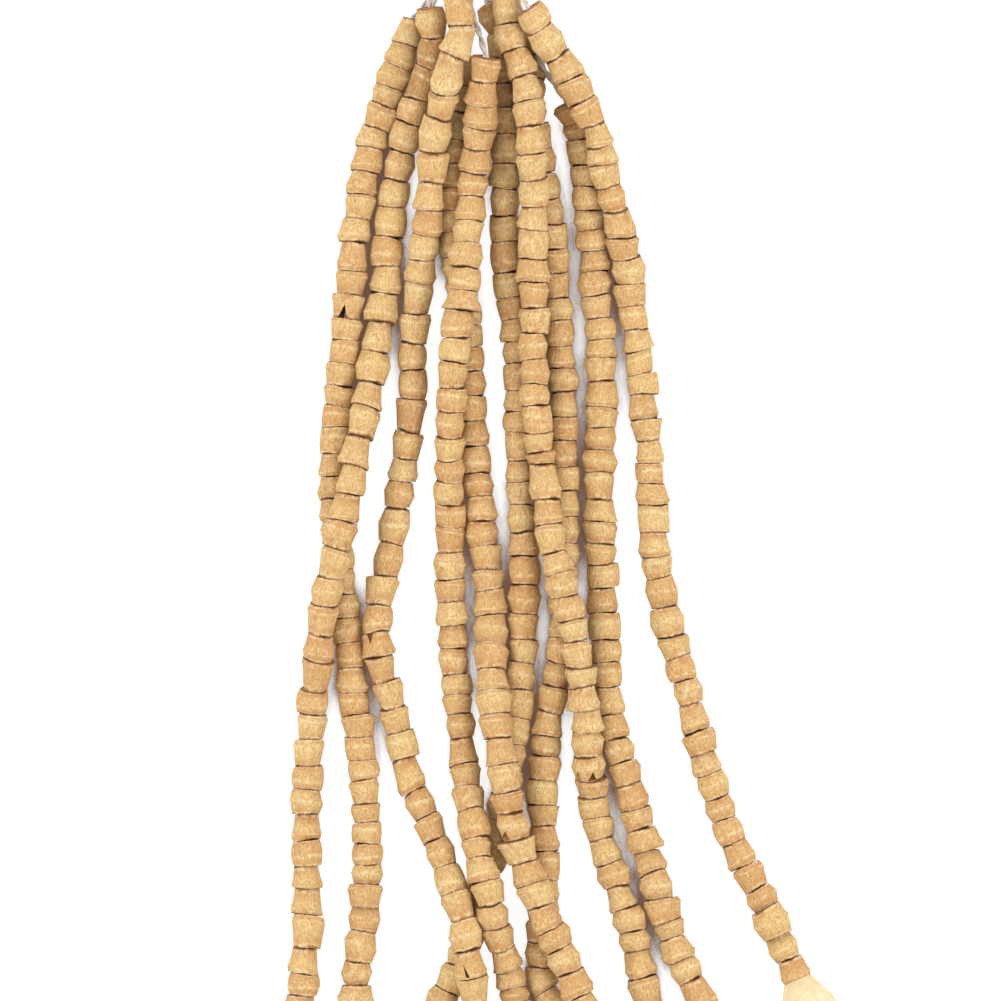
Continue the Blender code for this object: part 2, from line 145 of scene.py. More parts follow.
# slot:   where the thread leaves the neck, (places to the right, places up) from its middle
# thread: points that the bare thread passes, and
# beads:  points from the first bead to the end bead,
#         all as (across to the right, down from the neck's lower face) in millimetres
STRINGS = {
    "1": {
        "slot": (0, -0.5),
        "thread": [],
        "beads": [
            (0.8, 13.8), (4.1, 19.3), (4.5, 24), (3.9, 31), (4.3, 37.5), (5.6, 48), (5.3, 57),
            (4.8, 65), (5.8, 78), (7.5, 91), (8.6, 108), (8.9, 125), (9.5, 145), (10.2, 162.5),
            (9.5, 177), (8.4, 188), (6.7, 200), (5, 212.5), (2.5, 225), (-1.5, 237.5),
            (-5.8, 253.5), (-12, 265.5),
        ],
    },
    "2": {
        "slot": (1, -0.5),
        "thread": [(6, 12.5)],
        "beads": [
            (12.3, 20.8), (11.9, 28), (11.3, 35), (11.9, 42), (13.5, 49), (15, 57), (16.4, 65),
            (16.9, 75), (18.2, 87), (19.2, 102), (19.7, 122), (20.3, 142), (20, 157),
            (19.6, 175), (17.5, 185.5), (15.5, 197), (14.6, 212), (15.3, 226), (14.8, 238),
            (13.8, 250), (14.4, 258.5), (18.3, 264.5), (21.8, 270), (23, 275), (22.8, 281),
            (21.8, 285),
        ],
    },
    "3": {
        "slot": (2, -0.5),
        "thread": [(9.2, 15), (12.2, 22.5), (14.2, 28.5)],
        "beads": [
            (20.8, 38.5), (23, 43), (24.6, 48.5), (25.5, 56), (26.5, 67), (27.5, 76),
            (28.2, 88), (29.3, 105), (29, 127), (29.2, 148), (29.8, 163), (30.4, 177),
            (31, 187), (33, 198), (36, 209), (39.3, 221), (42.8, 232.5), (47.2, 247.5),
            (54.2, 262.5), (56, 265.8),
        ],
    },
    "4": {
        "slot": (-2, -0.5),
        "thread": [],
        "beads": [
            (-17.8, 17.5), (-20.8, 26.8), (-24, 36), (-27.5, 46.5), (-30.8, 62.5), (-33.2, 82),
            (-35.6, 105), (-37.4, 129), (-36.9, 147), (-34.8, 166), (-33, 182),
            (-31, 199), (-29.2, 217), (-29.7, 237.5), (-31.8, 259), (-32.2, 266.5),
        ],
    },
    "5": {
        "slot": (-1, -0.5),
        "thread": [(-8.2, 14), (-7.8, 21)],
        "beads": [
            (-5.2, 27.5), (-6.2, 37.5), (-7.6, 50), (-8, 62.5), (-7.6, 72.5), (-5.2, 85),
            (-3.8, 100), (-2.8, 120), (-0.6, 142.5), (1.2, 162.5), (2.2, 185), (4.8, 204),
            (8.3, 222.5), (15.5, 242.5), (20.2, 252.5), (24, 262.5), (27.3, 269.5), (30.8, 275.5),
            (32.8, 279.5),
        ],
    },
    "6": {
        "slot": (-2, 0.5),
        "thread": [],
        "beads": [
            (-13.5, 14.8), (-12.5, 22.5), (-13, 27.5), (-15.4, 33.8), (-19.2, 46.3),
            (-22.8, 62.5), (-24.6, 82.5), (-27.6, 103), (-33, 132.5), (-39.4, 162.5),
            (-43.1, 192.5), (-44.5, 220), (-43.8, 237.5), (-45.8, 264), (-46.7, 273.8),
        ],
    },
    "7": {
        "slot": (1, 0.5),
        "thread": [],
        "beads": [
            (5.2, 9.5), (5.7, 15), (5.8, 20), (6.7, 23.6), (7.9, 26.8), (9.2, 30), (10.8, 36.5),
            (11.8, 48), (12.7, 60), (12.2, 73.8), (12.3, 92.5), (12.8, 112.5), (14.7, 130),
            (17.2, 150), (20.4, 163), (23.2, 175), (25.2, 190), (26.4, 205), (29.3, 222),
            (33, 232.5), (36, 242.5), (41.2, 262.5), (41.6, 264),
        ],
    },
    "8": {
        "slot": (0, 0.5),
        "thread": [(-3, 8.8), (-3.3, 13.8), (-2.5, 17.5), (-1.3, 21), (-0.5, 23.8)],
        "beads": [
            (0.5, 27.5), (-0.3, 36.3), (-1.4, 47), (-3, 65), (-5, 82.5), (-7.4, 102.5),
            (-8.6, 122.5), (-8.6, 147.5), (-7.8, 172.5), (-6.2, 192.5), (-3.8, 212.5),
            (0.3, 232.5), (5.5, 252.5), (8, 263),
        ],
    },
    "9": {
        "slot": (-1, 0.5),
        "thread": [],
        "beads": [
            (-5.8, 7), (-6.4, 13.8), (-5.8, 17.5), (-5.4, 20.3), (-6.2, 23.5), (-7.7, 26.8),
            (-8.7, 29.8), (-9.6, 35.5), (-12.2, 46.8), (-13.5, 62.5), (-17.2, 92.5),
            (-18, 112.5), (-20.5, 132.5), (-24.2, 152.5), (-27, 170), (-26, 176.5),
            (-24.2, 185), (-21, 197.5), (-17.8, 208.8), (-14, 217), (-9, 231.3),
            (-5.5, 242.5), (-3.2, 255), (-1.6, 272.5), (-1.4, 281.5),
        ],
    },
    "10": {
        "slot": (2, 0.5),
        "thread": [],
        "beads": [
            (11, 15.5), (16.3, 23.8), (20.5, 30), (23.3, 35.5), (28, 46.3), (30.7, 57.5),
            (34.5, 72.5), (38.8, 102.5), (41.2, 127.5), (43.1, 152.5), (45.7, 167.5),
            (50, 182.5), (54, 198.8), (59.3, 215), (67, 232.5), (76.5, 252.5), (78.4, 257.5),
        ],
    },
}


def place(across, down):
    """A point of the table, in metres in the part's frame."""
    return (NECK_FACE_PLACE[0] + across) * MM, (NECK_FACE_PLACE[1] - down) * MM


def distances(points):
    """How far along a line each of its points is."""
    return np.concatenate([[0], np.cumsum(np.linalg.norm(np.diff(points, axis=0), axis=1))])


def at_marks(marks, along, points):
    return np.stack([np.interp(marks, along, points[:, k]) for k in range(points.shape[1])], 1)


def evenly(points, step):
    """The same line with evenly spaced points."""
    along = distances(points)
    marks = np.linspace(0, along[-1], max(2, round(along[-1] / step) + 1))
    return at_marks(marks, along, points)


def curve_through(points, step):
    """Even points on a smooth curve through the given ones, a centripetal Catmull-Rom spline."""
    given = np.array(points, float)
    given = np.vstack([2 * given[0] - given[1], given, 2 * given[-1] - given[-2]])
    knots = np.concatenate([[0], np.cumsum(np.linalg.norm(np.diff(given, axis=0), axis=1) ** 0.5)])
    fine = []
    for k in range(1, len(given) - 2):
        t = np.linspace(knots[k], knots[k + 1], 30, endpoint=False)[:, None]
        level = list(given[k - 1:k + 3])
        ends = knots[k - 1:k + 3]
        for span in (1, 2):
            level = [
                ((ends[i + span] - t) * level[i] + (t - ends[i]) * level[i + 1])
                / (ends[i + span] - ends[i])
                for i in range(len(level) - 1)
            ]
        fine.append(((ends[2] - t) * level[0] + (t - ends[1]) * level[1]) / (ends[2] - ends[1]))
    fine.append(given[-2][None])
    return evenly(np.vstack(fine), step)


def corners_of(node):
    """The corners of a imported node, each once."""
    return np.unique(np.round([v.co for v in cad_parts[node].data.vertices], 7), axis=0)


def heights_over(plan, node, reach):
    """The height of a packed tube's axis along its plan: a straight fit to its nearest corners."""
    corners = corners_of(node)
    ahead = np.gradient(plan, axis=0)
    ahead /= np.linalg.norm(ahead, axis=1)[:, None]
    away = corners[None, :, :2] - plan[:, None]
    weight = np.exp(-(away ** 2).sum(2) / (2 * reach ** 2))
    along = (away * ahead[:, None]).sum(2)
    w, wa, waa = weight.sum(1), (weight * along).sum(1), (weight * along ** 2).sum(1)
    wz, waz = (weight * corners[:, 2]).sum(1), (weight * along * corners[:, 2]).sum(1)
    return (waa * wz - wa * waz) / (w * waa - wa ** 2)


CORNERS_AT_AN_END = 10      # of a packed end bead
TOP_BELOW_MIDDLE = 0.6      # its narrow top lies lower than its ball, by about this factor


def end_bead_place(name):
    """The middles of an end bead's flat top and of its tip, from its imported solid."""
    corners = corners_of(f"end_bead_{name}")
    x, y = place(*STRINGS[name]["beads"][-1])
    start = np.array([x, y, corners[:, 2].mean() * TOP_BELOW_MIDDLE])
    order = np.argsort(np.linalg.norm(corners - start, axis=1))
    top = corners[order[:CORNERS_AT_AN_END]].mean(0)
    order = np.argsort(np.linalg.norm(corners - top, axis=1))
    return top, corners[order[-CORNERS_AT_AN_END:]].mean(0)


PACKED_AXIS_HEIGHT = 3.45 * MM
BEAD_AXIS_HEIGHT = 4.1 * MM     # higher, because the beads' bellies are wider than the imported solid
STACKING = 1.06                 # and so they lie a little farther above one another

threads, bead_lines, end_places = {}, {}, {}
for name, row in STRINGS.items():
    right, up = row["slot"]
    x, y = place(0, 0)
    slot = (x + right * SLOT_SPACING, y - THREAD_END_ROOM, NECK_HEIGHT + up * SLOT_SPACING)
    bead_plan = curve_through([place(*p) for p in row["beads"]], LINE_STEP)
    thread_plan = curve_through([slot[:2], *(place(*p) for p in row["thread"]), bead_plan[0]],
                                LINE_STEP)
    packed = heights_over(bead_plan, f"bead_string_{name}", 4 * MM)
    bead_heights = BEAD_AXIS_HEIGHT + (packed - PACKED_AXIS_HEIGHT) * STACKING
    thread_heights = heights_over(thread_plan, f"thread_{name}", 1.6 * MM)
    thread_heights[-1] = bead_heights[0]
    top, tip = end_bead_place(name)
    ahead = (tip - top) / np.linalg.norm(tip - top)
    bead_line = np.column_stack([bead_plan, bead_heights])
    thread_line = np.column_stack([thread_plan, thread_heights])
    in_neck = np.array(slot) + (0, THREAD_IN_NECK + THREAD_END_ROOM, 0)
    bead_lines[name] = bead_line
    end_places[name] = top, tip
    threads[name] = evenly(np.vstack([in_neck, thread_line[:-1], bead_line[:-2], tip,
                                      tip + ahead * KNOT_ROOM]), LINE_STEP)


def frame_along(line):
    """For each point of a line that lies fairly level, the way ahead, to its side and upwards."""
    ahead = np.gradient(line, axis=0)
    ahead /= np.linalg.norm(ahead, axis=1)[:, None]
    side = np.cross(ahead, (0, 0, 1))
    side /= np.linalg.norm(side, axis=1)[:, None]
    return ahead, side, np.cross(side, ahead)


def tube(name, line, width, sides=6):
    """A round tube along the line, as a mesh."""
    curve = bpy.data.curves.new(name, "CURVE")
    curve.dimensions = "3D"
    curve.bevel_depth = width / 2
    curve.bevel_resolution = sides // 2 - 2
    curve.use_fill_caps = True
    spline = curve.splines.new("POLY")
    spline.points.add(len(line) - 1)
    for point, at in zip(spline.points, line):
        point.co = (*at, 1)
    made = bpy.data.objects.new(name, curve)
    scene.collection.objects.link(made)
    bpy.ops.object.select_all(action="DESELECT")
    made.select_set(True)
    bpy.context.view_layer.objects.active = made
    bpy.ops.object.convert(target="MESH")
    return bpy.context.object


def joined(name, pieces):
    bpy.ops.object.select_all(action="DESELECT")
    for piece in pieces:
        piece.select_set(True)
    bpy.context.view_layer.objects.active = pieces[0]
    bpy.ops.object.join()
    made = bpy.context.object
    made.name = name
    made.data.name = name
    return made


def twisted(name, line, plies, strand_width, off_axis, twist):
    """Strands laid round a line, as a plied cord."""
    ahead, side, up = frame_along(line)
    turn = distances(line) / twist * 2 * math.pi
    strands = []
    for k in range(plies):
        angle = turn + 2 * math.pi * k / plies
        strand = line + off_axis * (np.cos(angle)[:, None] * side + np.sin(angle)[:, None] * up)
        strands.append(tube(f"{name}_strand", strand, strand_width))
    return joined(name, strands)


def cotton(name, colour, twist_marks):
    """Matte off-white yarn: slanting fibres along each strand and a little soiling."""
    made = bpy.data.materials.new(name)
    made.use_nodes = True
    nodes, links = made.node_tree.nodes, made.node_tree.links
    shader = nodes["Principled BSDF"]
    shader.inputs["Roughness"].default_value = 0.9
    shader.inputs["Specular IOR Level"].default_value = 0.15
    where = nodes.new("ShaderNodeUVMap")
    where.uv_map = "UVMap"
    slant = nodes.new("ShaderNodeMapping")
    slant.inputs["Rotation"].default_value = (0, 0, math.radians(55))
    slant.inputs["Scale"].default_value = (twist_marks, 6, 1)
    links.new(where.outputs["UV"], slant.inputs["Vector"])
    fibres = nodes.new("ShaderNodeTexNoise")
    fibres.inputs["Scale"].default_value = 4
    fibres.inputs["Detail"].default_value = 5
    links.new(slant.outputs["Vector"], fibres.inputs["Vector"])
    spots = nodes.new("ShaderNodeTexNoise")
    spots.inputs["Scale"].default_value = 350
    place_in_space = nodes.new("ShaderNodeTexCoord")
    links.new(place_in_space.outputs["Object"], spots.inputs["Vector"])
    both = nodes.new("ShaderNodeMath")
    both.operation = "MULTIPLY_ADD"
    both.inputs[1].default_value = 0.5
    links.new(fibres.outputs["Fac"], both.inputs[0])
    links.new(spots.outputs["Fac"], both.inputs[2])
    tint = nodes.new("ShaderNodeValToRGB")
    tint.color_ramp.elements[0].position = 0.5
    tint.color_ramp.elements[0].color = (*[c * 0.5 for c in colour], 1)
    tint.color_ramp.elements[1].position = 0.9
    tint.color_ramp.elements[1].color = (*colour, 1)
    links.new(both.outputs["Value"], tint.inputs["Fac"])
    links.new(tint.outputs["Color"], shader.inputs["Base Color"])
    bump = nodes.new("ShaderNodeBump")
    bump.inputs["Strength"].default_value = 0.6
    bump.inputs["Distance"].default_value = 0.1 * MM
    links.new(fibres.outputs["Fac"], bump.inputs["Height"])
    links.new(bump.outputs["Normal"], shader.inputs["Normal"])
    return made


thread_cotton = cotton("off-white cotton thread", YARN, YARN_TWIST_MARKS)
thread_pieces = {}
for name, line in threads.items():
    piece = twisted(f"doubled_thread_{name}", line, 2, STRAND_WIDTH, STRAND_WIDTH / 2,
                    STRAND_TWIST)
    piece.data.materials.clear()
    piece.data.materials.append(thread_cotton)
    piece.data.shade_smooth()
    thread_pieces[name] = piece

# ---- Small wooden beads --------------------------------------------------------------------------
# Short beads cut from soft pale wood and left rough: most are two blunt cones that meet in a
# ridge, the rest barrels, drums and flared collars. About 41 are threaded close on each string.
BEAD_WIDTH = 8.45 * MM
WIDER_STRINGS = {"3": 1.04, "5": 1.06, "9": 0.97}
BEAD_SIDES = 12
HOLE_SHARE = 0.27           # of the bead's width
JOINT_OVERLAP = 0.1 * MM     # the soft uneven rims are pressed together
RIM = 0.005                 # a bead's ends are a little domed: their rims stand back by this part
RIM_CRISP = 1

# Each form is its outline from the upper to the lower rim: (part of the length, part of the
# greatest radius, how crisp the wood is there, from 0 to 1).
BEAD_FORMS = {
    "b": [(RIM, 0.81, RIM_CRISP), (0.35, 0.93, 0), (0.45, 1.0, 1), (1 - RIM, 0.79, RIM_CRISP)],
    "h": [(RIM, 0.89, RIM_CRISP), (0.24, 1.0, 1), (0.35, 0.93, 0), (1 - RIM, 0.79, RIM_CRISP)],
    "l": [(RIM, 0.78, RIM_CRISP), (0.62, 0.92, 0), (0.72, 1.0, 1), (1 - RIM, 0.89, RIM_CRISP)],
    "r": [(RIM, 0.84, RIM_CRISP), (0.27, 0.98, 0), (0.70, 1.0, 0), (1 - RIM, 0.85, RIM_CRISP)],
    "d": [(RIM, 0.92, RIM_CRISP), (0.33, 0.97, 0), (0.70, 0.96, 0), (1 - RIM, 0.90, RIM_CRISP)],
    "c": [(RIM, 0.75, RIM_CRISP), (0.70, 0.88, 0), (0.84, 1.0, 1), (1 - RIM, 0.96, RIM_CRISP)],
    "u": [(RIM, 0.96, RIM_CRISP), (0.15, 1.0, 1), (0.28, 0.90, 0), (1 - RIM, 0.75, RIM_CRISP)],
    "s": [(RIM, 0.80, RIM_CRISP), (0.50, 0.88, 0), (0.86, 1.12, 1), (1 - RIM, 1.08, RIM_CRISP)],
}


def turned_bead(letter, outline):
    """A bead one unit long and of one unit radius, with a hole for the thread."""
    bpy.ops.object.select_all(action="DESELECT")
    bpy.ops.mesh.primitive_circle_add(vertices=BEAD_SIDES, radius=HOLE_SHARE)
    bead = bpy.context.object
    bead.name = f"bead form {letter}"
    bpy.ops.object.mode_set(mode="EDIT")
    bpy.ops.mesh.select_all(action="SELECT")
    height, radius = 0, HOLE_SHARE
    for to_height, to_radius, _ in [*outline, (1, HOLE_SHARE, 0)]:
        grown = to_radius / radius
        bpy.ops.mesh.extrude_region_move()
        bpy.ops.transform.resize(value=(grown, grown, 1), center_override=(0, 0, 0))
        bpy.ops.transform.translate(value=(0, 0, to_height - height))
        height, radius = to_height, to_radius
    bpy.ops.mesh.select_all(action="DESELECT")
    bpy.ops.mesh.select_non_manifold()
    bpy.ops.mesh.bridge_edge_loops()
    bpy.ops.mesh.select_all(action="SELECT")
    bpy.ops.mesh.normals_make_consistent(inside=False)
    bpy.ops.object.mode_set(mode="OBJECT")
    crispness = {round(at, 3): crisp for at, size, crisp in outline}
    creases = bead.data.attributes.new("crease_edge", "FLOAT", "EDGE")
    for edge in bead.data.edges:
        first, second = (bead.data.vertices[k].co for k in edge.vertices)
        if abs(first.z - second.z) < 0.001 and abs(first.xy.length - second.xy.length) < 0.001:
            crisp = crispness.get(round(first.z, 3), 1)
            creases.data[edge.index].value = crisp
            edge.use_edge_sharp = crisp == 1
    return bead


forms = {letter: turned_bead(letter, outline) for letter, outline in BEAD_FORMS.items()}


CREAM = (0.600, 0.418, 0.178)
PINK_TAN = (0.524, 0.303, 0.124)
PAINTED_SHADE_WOOD = (0.26, 0.130, 0.045)
BARE_WOOD = (0.640, 0.490, 0.240)
GRAIN_BROWN = (0.27, 0.110, 0.034)
PORE_AND_PIT_SHADE_BROWN = (0.27, 0.105, 0.032)
SPECK_BROWN = (0.28, 0.115, 0.036)
CUT_FIBRES_AND_HIGHLIGHT = (0.65, 0.52, 0.31)
RUST = (0.350, 0.140, 0.044)
WORN_EDGE_AND_HIGHLIGHT = (0.66, 0.52, 0.30)
JOINT_SHADE = (0.190, 0.068, 0.020)
INSIDE_HOLE = (0.30, 0.120, 0.040)


def rough_wood(name):
    """Soft pale wood, cut and left bare: fine lengthwise grain, blotches, rust-brown ends."""
    made = bpy.data.materials.new(name)
    made.use_nodes = True
    nodes, links = made.node_tree.nodes, made.node_tree.links
    shader = nodes["Principled BSDF"]
    shader.inputs["Roughness"].default_value = 0.85
    shader.inputs["Specular IOR Level"].default_value = 0.2

    def noise(scale, stretch, detail, roughness=0.55):
        spread = nodes.new("ShaderNodeMapping")
        spread.inputs["Scale"].default_value = stretch
        links.new(where.outputs["Vector"], spread.inputs["Vector"])
        made_noise = nodes.new("ShaderNodeTexNoise")
        made_noise.inputs["Scale"].default_value = scale
        made_noise.inputs["Detail"].default_value = detail
        made_noise.inputs["Roughness"].default_value = roughness
        links.new(spread.outputs["Vector"], made_noise.inputs["Vector"])
        return made_noise.outputs["Fac"]

    def ramp(source, low, high):
        made_ramp = nodes.new("ShaderNodeMapRange")
        made_ramp.inputs["From Min"].default_value = low
        made_ramp.inputs["From Max"].default_value = high
        links.new(source, made_ramp.inputs["Value"])
        return made_ramp.outputs["Result"]

    def mix(share, first, second):
        made_mix = nodes.new("ShaderNodeMix")
        made_mix.data_type = "RGBA"
        for socket, source in ((made_mix.inputs["Factor"], share), (made_mix.inputs[6], first),
                               (made_mix.inputs[7], second)):
            if isinstance(source, (float, int)):
                socket.default_value = source
            elif isinstance(source, tuple):
                socket.default_value = (*source, 1)
            else:
                links.new(source, socket)
        return made_mix.outputs[2]

    def math_node(way, *sources):
        made_math = nodes.new("ShaderNodeMath")
        made_math.operation = way
        for socket, source in zip(made_math.inputs, sources):
            if isinstance(source, (float, int)):
                socket.default_value = source
            else:
                links.new(source, socket)
        return made_math.outputs["Value"]

    where = nodes.new("ShaderNodeAttribute")
    where.attribute_name = "grain_place"
    tones = nodes.new("ShaderNodeAttribute")
    tones.attribute_name = "tone"
    split = nodes.new("ShaderNodeSeparateXYZ")
    links.new(tones.outputs["Vector"], split.inputs["Vector"])
    pinkness_and_painted_shade, paleness, rustiness = split.outputs
    zones = nodes.new("ShaderNodeAttribute")
    zones.attribute_name = "zone"
    split = nodes.new("ShaderNodeSeparateXYZ")
    links.new(zones.outputs["Vector"], split.inputs["Vector"])
    to_end, ridge, inner = split.outputs

    blotches = noise(0.40, (1, 1, 0.7), 3)
    patches = noise(0.70, (1, 1, 1), 2)
    grain = noise(1.6, (1, 1, 0.3), 3, 0.6)
    pores = noise(2.4, (1, 1, 0.5), 3, 0.7)
    specks = noise(4.5, (1, 1, 0.35), 1, 0.6)
    warm_and_painted_shade = math_node("ADD", math_node("MULTIPLY", blotches, 0.6), pinkness_and_painted_shade)
    colour = mix(ramp(warm_and_painted_shade, 0.3, 1.2), CREAM, PINK_TAN)
    # painted shade: beads marked ! turn dark brown as if shaded by the strings lying over them
    colour = mix(ramp(warm_and_painted_shade, 1.5, 3), colour, PAINTED_SHADE_WOOD)
    colour = mix(math_node("MULTIPLY", paleness, ramp(patches, 0.35, 0.60)), colour, BARE_WOOD)
    colour = mix(ramp(grain, 0.36, 0.56), mix(0.20, colour, GRAIN_BROWN), colour)
    # pores follow the bump: partly the wood's own flecks, partly painted shade in pits and painted
    # highlight on rises
    colour = mix(ramp(pores, 0.40, 0.50), mix(0.32, colour, PORE_AND_PIT_SHADE_BROWN), colour)
    colour = mix(ramp(pores, 0.54, 0.66), colour, mix(0.40, colour, CUT_FIBRES_AND_HIGHLIGHT))
    colour = mix(ramp(specks, 0.38, 0.47), mix(0.52, colour, SPECK_BROWN), colour)
    speckled_end = math_node("ADD", math_node("MULTIPLY", pores, 0.9), to_end)
    speckled_end = math_node("ADD", math_node("MULTIPLY", blotches, 0.9), speckled_end)
    rust = math_node("MULTIPLY", ramp(speckled_end, 1.42, 1.95),
                     math_node("MULTIPLY_ADD", rustiness, 0.55, 0.42))
    colour = mix(rust, colour, RUST)
    # paler ridges and rims: partly real wear, partly a painted highlight along the edges
    at_ridge = ramp(math_node("ADD", ridge, math_node("MULTIPLY", pores, 0.5)), 0.95, 1.25)
    at_rim = ramp(math_node("ADD", to_end, math_node("MULTIPLY", pores, 0.16)), 0.88, 0.99)
    worn_and_highlight = math_node("MULTIPLY", math_node("MAXIMUM", at_ridge, at_rim), ramp(patches, 0.38, 0.60))
    colour = mix(math_node("MULTIPLY", worn_and_highlight, 0.75), colour, WORN_EDGE_AND_HIGHLIGHT)
    joint = ramp(math_node("ADD", to_end, math_node("MULTIPLY", pores, 0.40)), 1.12, 1.20)
    colour = mix(math_node("MULTIPLY", joint, 0.85), colour, JOINT_SHADE)
    colour = mix(inner, colour, INSIDE_HOLE)
    links.new(colour, shader.inputs["Base Color"])
    height = math_node("ADD", math_node("MULTIPLY", grain, 0.5),
                       math_node("ADD", pores, math_node("MULTIPLY", specks, 0.3)))
    bump = nodes.new("ShaderNodeBump")
    bump.inputs["Strength"].default_value = 0.7
    bump.inputs["Distance"].default_value = 0.6 * MM
    links.new(height, bump.inputs["Height"])
    links.new(bump.outputs["Normal"], shader.inputs["Normal"])
    return made


bead_wood = rough_wood("rough natural wood")

# Every string's beads from the top down: the form, how far the bead reaches down the tassel in
# quarters of a millimetre, + for a wide bead or - for a slim one, * for pale, ~ for rusty, ! for
# painted shade (dark, as if under the strings over it), and ^ or _ for a band of bare pale wood
# at its upper or lower rim.
BEAD_CHARTS = {
    "1": """b29 h25 r25 b25 h26~ r28~ l25~ b27~ d27 r30 d24 h23~ l21~ b23 d26 l20 r22 d27~ l22~ h24*
        b26 l24 r28 b29+~ h26 h24* b27 d27 r27 b25 h25 b25 l26 r24 b25 h25 l25 b23 h22 b22""",
    "2": """b25~ l22~ r23~ b23~ h23 b24 r25 b26 d26 h24~ h25 b23 r24 l22 b24+~ l24 d25 r26~ d24 l26
        b24 b24 h25 r23 l24 d25 b24 h26 c23~ r21 h23+ d25 u22 l25 d26 l21 b22 h21 b25~ r25~ b25
        h25 l25 b24""",
    "3": """h17 b18 d25~ d24~ r22 b20 r21 l21 b24+ h23 r21 l18 h23 l27 h20* b22 b23+~ h26^ c22+*
        h22+~ h21 d23 l26 d26~ r24 d24~ l27 l24 b24 h22 l24 h21* l21+ l22 b26 h22+ h17 l22+ b20
        l34""",
    "4": """c25*_ l22~ b22+ h17* h23+ l20* l24 l23 h24 l23 l28 h25 u23+ h21+ d24 h23 h20 d21 d25 l23
        l23 l21 b25 r25 h24 b23 b26~ r25~ l24 d23~ h21+ d23 r20 h24 h19 d21 r20 b21~ h22+ b25
        b30 b23~ b32+*""",
    "5": """b27 h26 l27 b25~ l25~ h20~ b22~ r24~ b24 h23 r23 d22 r24 b24 d24 l26~ r28~ b23~ l24~
        b25~ u24 h20 l25+ b31+ h24+ l22 h22+ h24 c26 h26* h20~ b27~ u24+* l22 h22+ l22 b19+ b24
        l25 b25 h24 b24""",
    "6": """b29~ r30! d32! d22 r30 b28 r27 r31 r29 l27 l29+ l30*_ b30+ c25 h30 c29 l27 c27~ h27+ h28
        b27 h30 l25 u30+ r25 h26*^ h25*^ r25 b25+ l26~ r25 c21 c28 h33+ c25 r22 b26 h25""",
    "7": """r40- b26+* l26* l24* h24+ l27~ h25 r27 c23 d30* l24+ h25 h26* b26 b24 r21 d26 h20 h12~
        l36 l25 h28 l20* b23+ r23 h22* h25* h20+* c22+* c22+* b24+~ b23+* h18+ d22 h21 l25 b23+
        c22 b23+ b19 l26 h30""",
    "8": """h23 c23+ l22+ h21+ l25+ b24 l24 h24 b23+ r23 s19+ r27 r25 h26 d22~ b26 h22 b22 r22* d22~
        h27 b27* h23 l22+ l23~ b28 r20* h19 b23~ c28 h22~ h24* r27 h19 l23+~ h22 b23 h21 c21
        l19 b16""",
    "9": """b20 d32- c28+* l35+_ h26~ b33+ h32+ c26 l24 r25* l23+ h32*^ h29 r27 r29~ u33 h27~ l22* b26
        b37^ b33 u29+ r27 c22+ u26 h26* h25 d26 l32~ b26 h24 b27 r27 u25 b29+ c25+ u28+ b26 h24
        r25""",
    "10": """r18 b28 l23+ h22+ h23 c21- l19* h21* b24-~ l26 h21+ b25+* h23+ d23- c21 d25- d20 l25~
        u21 l22- d20- l21+ d29* l24~ h20*^ b31 b28+~ h22 r22 b24* l28~ h21+ l20* b24 b22 r22 l24
        h24 b18 b28++ b23 l22""",
}
QUARTER = 0.25 * MM
WIDE_MARK, SLIM_MARK = 1.09, 0.91
WIDTHS_VARY = 0.04          # from bead to bead, besides the marks
PALE = 0.7                  # from this up a bead is marked pale, and below it it isn't
RUSTY = 0.6                 # the same for rust
SLANT = 0.10                # how far a joint may lean from square
RIDGE_LEANS = 0.13          # the most that a ridge leans, as a part of the bead's length
RIDGE_UNEVEN = 0.032        # how far its corners stray along the bead, as a part of the length
OVAL = 0.03                 # how far a bead is out of round, as a part of its radius
DENTS = 0.02                # how far its corners stray in or out, as a part of its radius
CHIPPED = 0.15              # the part of the corners on a bead's rims that are chipped
CHIP_DEPTH = 0.07           # as a part of the bead's length
CHIP_INWARDS = 0.06         # as a part of its radius
RAGGED = 0.02               # how far a rim's corners stray, as a part of the bead's length
HOLE_AND_A_LITTLE = HOLE_SHARE + 0.01
chance = random.Random(11)


def unit(vector):
    return vector / np.linalg.norm(vector)


def draw(low, high):
    """One chance number for every line of a bead's own small differences."""
    return chance.uniform(low, high)


def joints_down(line, drops):
    """Where a string's joints are, and the way the string runs there: (places, unit vectors)."""
    along = distances(line)
    down = line[0][1] - line[:, 1]
    reached = np.concatenate([[0], np.cumsum(drops)]) * QUARTER
    marks = np.interp(reached * down[-1] / reached[-1], down, along)
    places = at_marks(marks, along, line)
    near = at_marks(np.clip(marks + 1 * MM, 0, along[-1]), along, line)
    before = at_marks(np.clip(marks - 1 * MM, 0, along[-1]), along, line)
    return places, [unit(way) for way in near - before]


